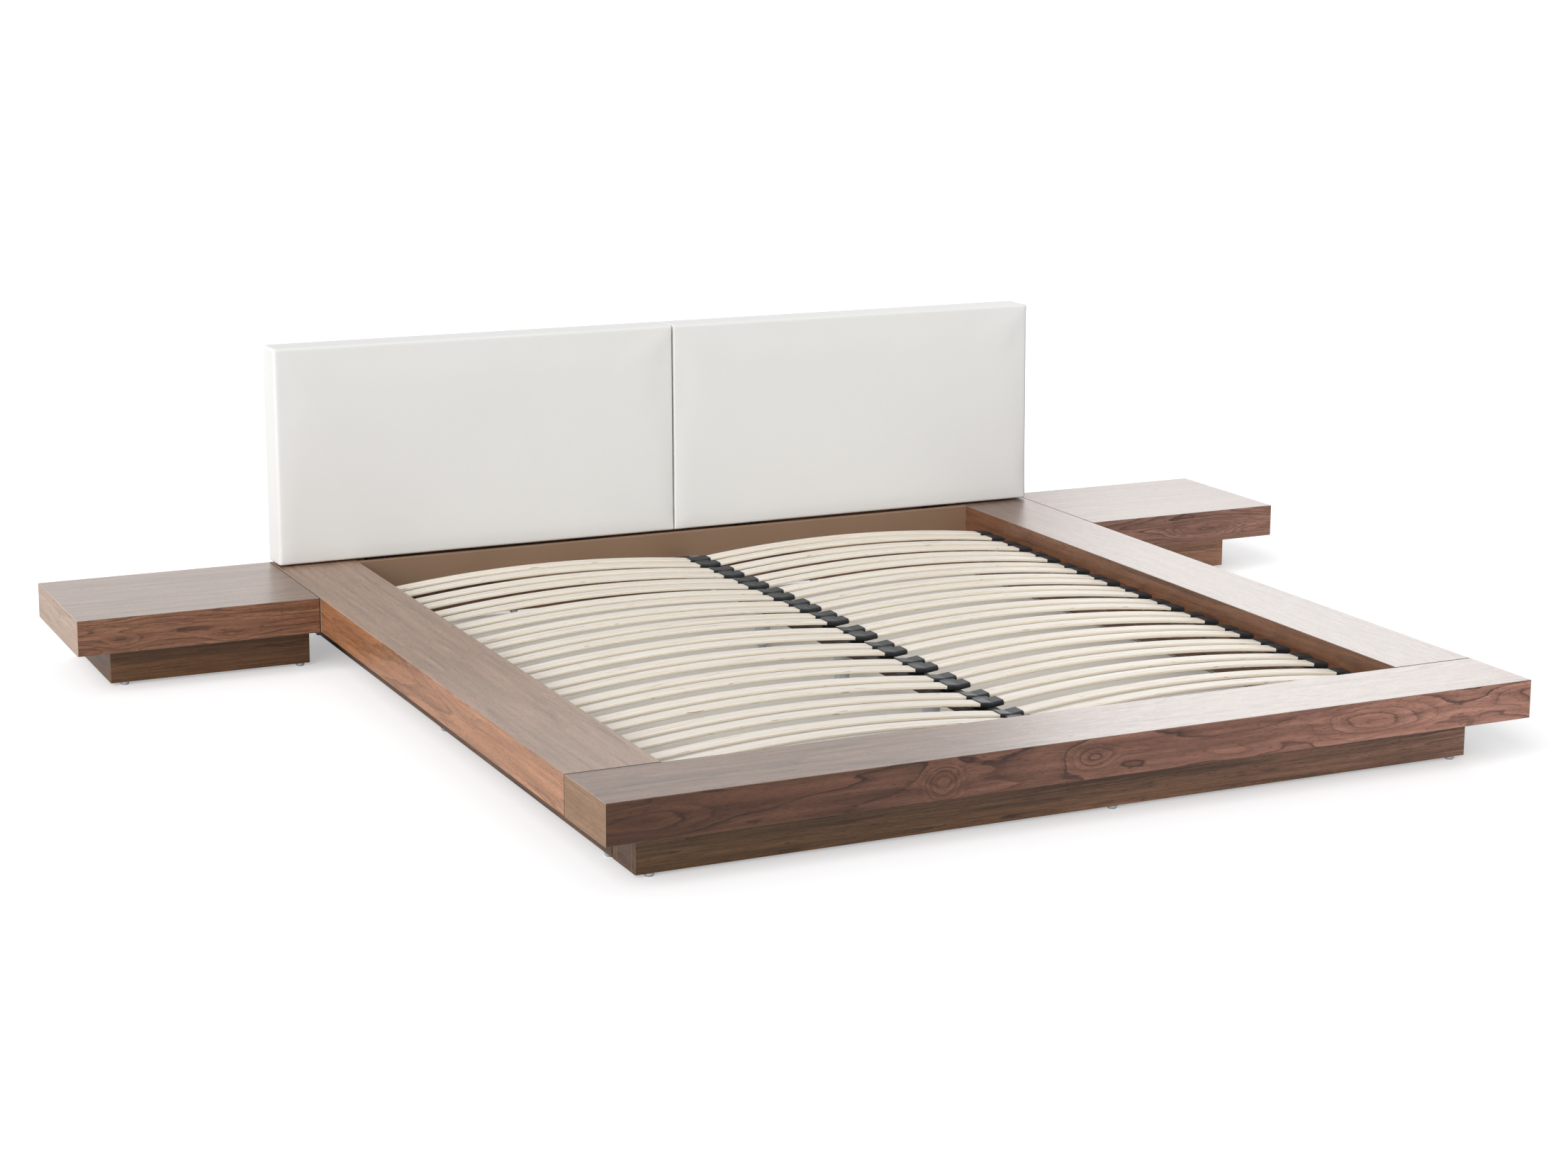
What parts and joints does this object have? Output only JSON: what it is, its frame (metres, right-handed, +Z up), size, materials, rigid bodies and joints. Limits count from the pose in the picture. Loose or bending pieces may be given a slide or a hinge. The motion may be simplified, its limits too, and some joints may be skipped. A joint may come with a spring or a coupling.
{
  "type": "platform bed",
  "caption": "Low platform bed with a wide walnut border, recessed plinth, sprung slats in rocking twin holders, a white upholstered headboard and attached bedside shelves.",
  "frame": {"origin": "on the floor, under the middle of the whole footprint", "axes": "+X across the bed to the right as seen from the foot end, +Y from the foot towards the headboard, +Z up"},
  "size_m": [3.45, 2.3638, 0.7716],
  "materials": {
    "walnut_veneer": "satin lacquered walnut veneer",
    "plinth_veneer": "satin lacquered straight-grained walnut veneer",
    "painted_board": "satin taupe paint on board",
    "pine": "planed, unfinished",
    "stained_wood": "dark stain, matt",
    "birch_ply": "sealed laminated birch",
    "black_plastic": "moulded, slight sheen",
    "grey_plastic": "moulded",
    "zinc_steel": "bright zinc plate",
    "faux_leather": "fine-grained off-white faux leather",
    "back_cloth": "black non-woven cloth on fibreboard"
  },
  "bodies": {
    "frame": {"foot_rail": "walnut_veneer", "left_side_rail": "walnut_veneer", "right_side_rail": "walnut_veneer", "rail_end_blocks": "walnut_veneer", "dowels": "pine", "corner_plates": "zinc_steel", "wood_screws": "zinc_steel", "head_panel": "painted_board", "rear_panel": "plinth_veneer", "head_box_cleats": "pine", "side_ledgers": "plinth_veneer", "centre_beam": "stained_wood", "beam_brackets": "zinc_steel", "beam_legs": "black_plastic", "holder_pegs": "black_plastic", "front_plinth_board": "plinth_veneer", "front_plinth_inner_board": "plinth_veneer", "front_plinth_ends": "plinth_veneer", "left_side_plinth": "plinth_veneer", "right_side_plinth": "plinth_veneer", "side_plinth_inner_boards": "plinth_veneer", "rear_plinth_board": "plinth_veneer", "glides": "grey_plastic", "left_headboard_pad": "faux_leather", "right_headboard_pad": "faux_leather", "left_headboard_frame": "pine", "right_headboard_frame": "pine", "headboard_back_panels": "back_cloth", "headboard_posts": "pine", "headboard_bolts": "zinc_steel", "left_bedside_shelf": "walnut_veneer", "right_bedside_shelf": "walnut_veneer", "shelf_end_blocks": "walnut_veneer", "shelf_plinth_fronts": "plinth_veneer", "shelf_plinth_sides": "plinth_veneer", "shelf_bolts": "zinc_steel"},
    "slat_row_1": {"slats_row_1": "birch_ply", "holders_row_1": "black_plastic"},
    "slat_row_2": {"slats_row_2": "birch_ply", "holders_row_2": "black_plastic"},
    "slat_row_3": {"slats_row_3": "birch_ply", "holders_row_3": "black_plastic"},
    "slat_row_4": {"slats_row_4": "birch_ply", "holders_row_4": "black_plastic"},
    "slat_row_5": {"slats_row_5": "birch_ply", "holders_row_5": "black_plastic"},
    "slat_row_6": {"slats_row_6": "birch_ply", "holders_row_6": "black_plastic"},
    "slat_row_7": {"slats_row_7": "birch_ply", "holders_row_7": "black_plastic"},
    "slat_row_8": {"slats_row_8": "birch_ply", "holders_row_8": "black_plastic"},
    "slat_row_9": {"slats_row_9": "birch_ply", "holders_row_9": "black_plastic"},
    "slat_row_10": {"slats_row_10": "birch_ply", "holders_row_10": "black_plastic"},
    "slat_row_11": {"slats_row_11": "birch_ply", "holders_row_11": "black_plastic"},
    "slat_row_12": {"slats_row_12": "birch_ply", "holders_row_12": "black_plastic"}
  },
  "joints": [
    {"name": "slat_row_1_rock", "type": "hinge", "parent": "frame", "child": "slat_row_1", "pos_m": [0, -0.81149, 0.1325], "axis": [1, 0, 0], "range_deg": [-3, 3], "stiffness_Nm_per_rad": 60},
    {"name": "slat_row_2_rock", "type": "hinge", "parent": "frame", "child": "slat_row_2", "pos_m": [0, -0.65767, 0.1325], "axis": [1, 0, 0], "range_deg": [-3, 3], "stiffness_Nm_per_rad": 60},
    {"name": "slat_row_3_rock", "type": "hinge", "parent": "frame", "child": "slat_row_3", "pos_m": [0, -0.50385, 0.1325], "axis": [1, 0, 0], "range_deg": [-3, 3], "stiffness_Nm_per_rad": 60},
    {"name": "slat_row_4_rock", "type": "hinge", "parent": "frame", "child": "slat_row_4", "pos_m": [0, -0.35004, 0.1325], "axis": [1, 0, 0], "range_deg": [-3, 3], "stiffness_Nm_per_rad": 60},
    {"name": "slat_row_5_rock", "type": "hinge", "parent": "frame", "child": "slat_row_5", "pos_m": [0, -0.19622, 0.1325], "axis": [1, 0, 0], "range_deg": [-3, 3], "stiffness_Nm_per_rad": 60},
    {"name": "slat_row_6_rock", "type": "hinge", "parent": "frame", "child": "slat_row_6", "pos_m": [0, -0.0424, 0.1325], "axis": [1, 0, 0], "range_deg": [-3, 3], "stiffness_Nm_per_rad": 60},
    {"name": "slat_row_7_rock", "type": "hinge", "parent": "frame", "child": "slat_row_7", "pos_m": [0, 0.11142, 0.1325], "axis": [1, 0, 0], "range_deg": [-3, 3], "stiffness_Nm_per_rad": 60},
    {"name": "slat_row_8_rock", "type": "hinge", "parent": "frame", "child": "slat_row_8", "pos_m": [0, 0.26524, 0.1325], "axis": [1, 0, 0], "range_deg": [-3, 3], "stiffness_Nm_per_rad": 60},
    {"name": "slat_row_9_rock", "type": "hinge", "parent": "frame", "child": "slat_row_9", "pos_m": [0, 0.41906, 0.1325], "axis": [1, 0, 0], "range_deg": [-3, 3], "stiffness_Nm_per_rad": 60},
    {"name": "slat_row_10_rock", "type": "hinge", "parent": "frame", "child": "slat_row_10", "pos_m": [0, 0.57287, 0.1325], "axis": [1, 0, 0], "range_deg": [-3, 3], "stiffness_Nm_per_rad": 60},
    {"name": "slat_row_11_rock", "type": "hinge", "parent": "frame", "child": "slat_row_11", "pos_m": [0, 0.72669, 0.1325], "axis": [1, 0, 0], "range_deg": [-3, 3], "stiffness_Nm_per_rad": 60},
    {"name": "slat_row_12_rock", "type": "hinge", "parent": "frame", "child": "slat_row_12", "pos_m": [0, 0.88051, 0.1325], "axis": [1, 0, 0], "range_deg": [-3, 3], "stiffness_Nm_per_rad": 60}
  ]
}
